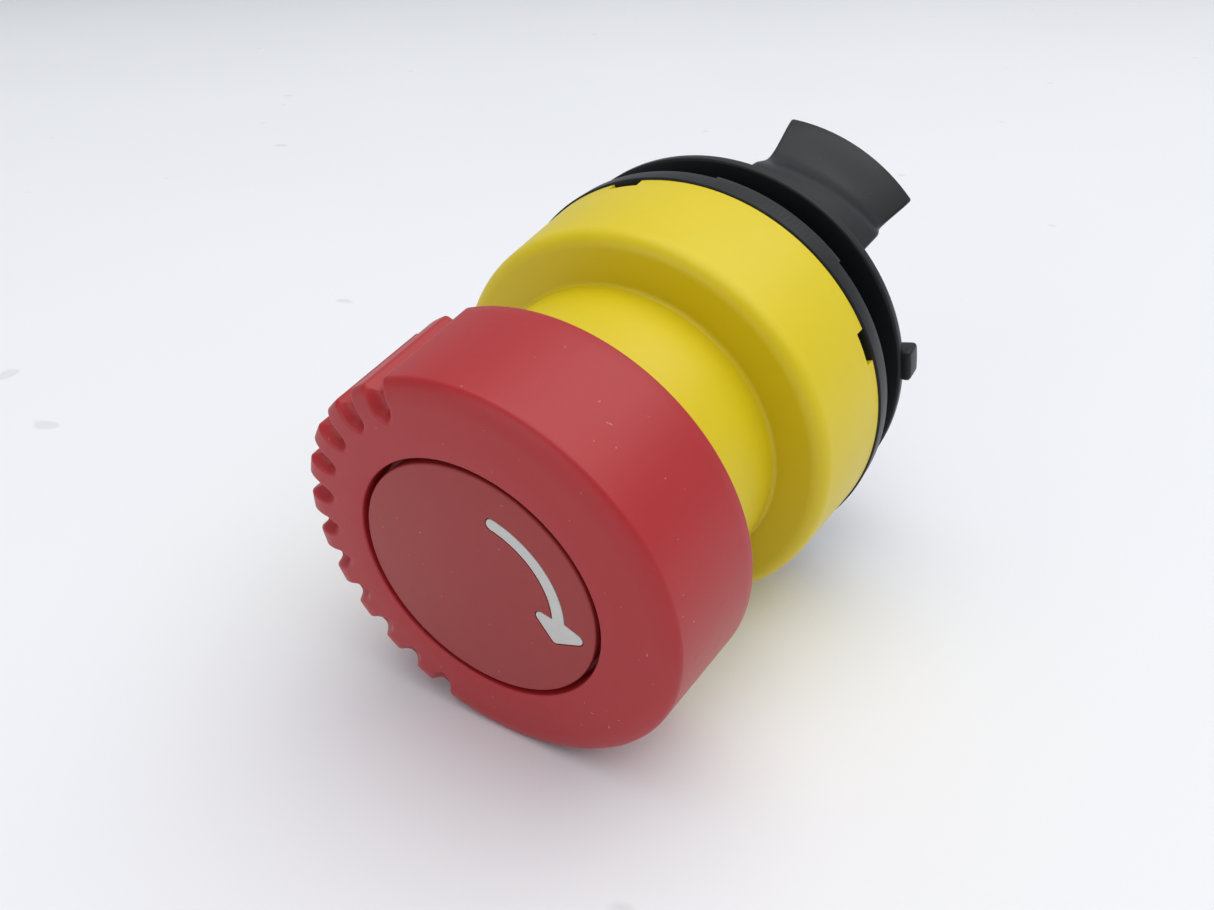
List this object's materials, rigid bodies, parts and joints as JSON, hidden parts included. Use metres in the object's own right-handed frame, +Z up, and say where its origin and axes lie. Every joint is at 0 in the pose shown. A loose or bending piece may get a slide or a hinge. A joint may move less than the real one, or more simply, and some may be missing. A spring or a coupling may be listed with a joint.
{
  "type": "emergency stop button",
  "caption": "Panel-mount emergency stop head: red mushroom cap that pushes in and twists to release, yellow collar, black base with a clamping ring.",
  "frame": {"origin": "centre of the panel's hole, on the panel's front surface, which is the gasket's rear face", "axes": "+Y is the push axis and points into the panel, the cap faces -Y, +Z is up, +X is to the user's right"},
  "size_m": [0.0462, 0.0621, 0.0448],
  "materials": {
    "cap_red": "satin moulded",
    "disc_red": "satin moulded",
    "arrow_grey": "matte print",
    "collar_yellow": "satin moulded",
    "black_plastic": "satin moulded",
    "inner_plastic": "moulded",
    "natural_plastic": "moulded",
    "rubber": "matte",
    "spring_steel": "drawn wire",
    "zinc_steel": "zinc plated"
  },
  "bodies": {
    "housing": {"collar": "collar_yellow", "base_body": "black_plastic", "panel_gasket": "rubber", "guide_bush": "natural_plastic", "latch_cage": "inner_plastic", "cage_screw_top": "zinc_steel", "cage_screw_bottom": "zinc_steel", "neck_seal": "rubber", "body_seal": "rubber", "spring_retainer": "inner_plastic", "return_spring": "spring_steel", "latch_spring_left": "spring_steel", "latch_spring_right": "spring_steel"},
    "carriage": {"carriage": "natural_plastic", "plunger": "inner_plastic", "push_pad": "natural_plastic", "twist_spring": "spring_steel"},
    "head": {"mushroom_cap": "cap_red", "face_disc": "disc_red", "arrow_inlay": "arrow_grey", "spindle": "zinc_steel", "cap_washer": "zinc_steel", "cap_screw": "zinc_steel", "spindle_clip": "spring_steel"},
    "latch_left": {"latch_slide_left": "natural_plastic"},
    "latch_right": {"latch_slide_right": "natural_plastic"},
    "ring": {"mounting_ring": "black_plastic"}
  },
  "joints": [
    {"name": "head_press", "type": "slide", "parent": "housing", "child": "carriage", "axis": [0, 1, 0], "range_m": [0, 0.006], "stiffness_N_per_m": 1200, "springref_m": -0.004, "deforming": ["return_spring"]},
    {"name": "head_twist", "type": "hinge", "parent": "carriage", "child": "head", "pos_m": [0, 0, 0], "axis": [0, 1, 0], "range_deg": [0, 45], "stiffness_Nm_per_rad": 0.05, "springref_deg": -11.46, "deforming": ["twist_spring"]},
    {"name": "latch_left_slide", "type": "slide", "parent": "housing", "child": "latch_left", "axis": [-1, 0, 0], "range_m": [0, 0.0015], "deforming": ["latch_spring_left"]},
    {"name": "latch_right_slide", "type": "slide", "parent": "housing", "child": "latch_right", "axis": [1, 0, 0], "range_m": [0, 0.0015], "deforming": ["latch_spring_right"]},
    {"name": "ring_turn", "type": "hinge", "parent": "housing", "child": "ring", "pos_m": [0, 0, 0], "axis": [0, 1, 0], "range_deg": [-50, 0]}
  ],
  "couplings": [
    {"joint": "latch_left_slide", "follows": "head_press", "ratio": 0.25},
    {"joint": "latch_right_slide", "follows": "head_press", "ratio": 0.25}
  ]
}
